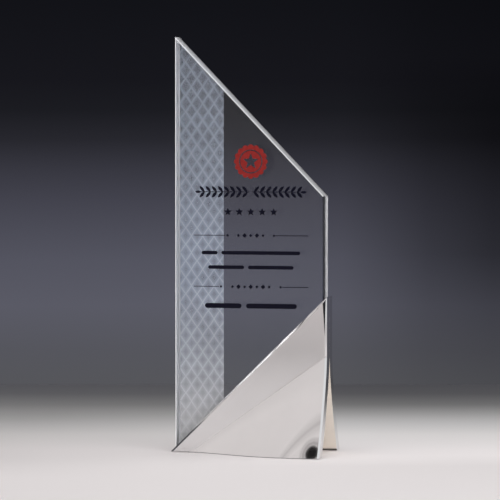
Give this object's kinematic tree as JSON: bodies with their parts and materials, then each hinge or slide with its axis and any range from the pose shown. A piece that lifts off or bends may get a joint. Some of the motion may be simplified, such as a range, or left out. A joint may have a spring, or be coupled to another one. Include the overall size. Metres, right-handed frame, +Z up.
{
  "type": "crystal award",
  "caption": "Clear crystal blade with a slanted top, held along its diagonal foot between the mirrored halves of a polished metal base that flare out into feet.",
  "frame": {"origin": "on the floor, at the middle of the overall bounding box", "axes": "+Z up the crystal, +X to the viewer's right as the front is seen, -Y to the front"},
  "size_m": [0.1172, 0.073, 0.3048],
  "materials": {
    "crystal": "polished optical crystal",
    "polished_metal": "mirror polished casting",
    "gasket": "matt",
    "screw_steel": "dark satin",
    "dowel_steel": "ground",
    "pad_rubber": "matt",
    "red_fill": "satin enamel colour fill",
    "dark_fill": "satin enamel colour fill"
  },
  "bodies": {
    "root": {"crystal_panel": "crystal", "front_wing": "polished_metal", "rear_wing": "polished_metal", "channel_gasket": "gasket", "clamp_screws": "screw_steel", "alignment_dowels": "dowel_steel", "front_foot_pad": "pad_rubber", "rear_foot_pad": "pad_rubber", "emblem_fill": "red_fill", "inscription_fill": "dark_fill"}
  },
  "joints": []
}
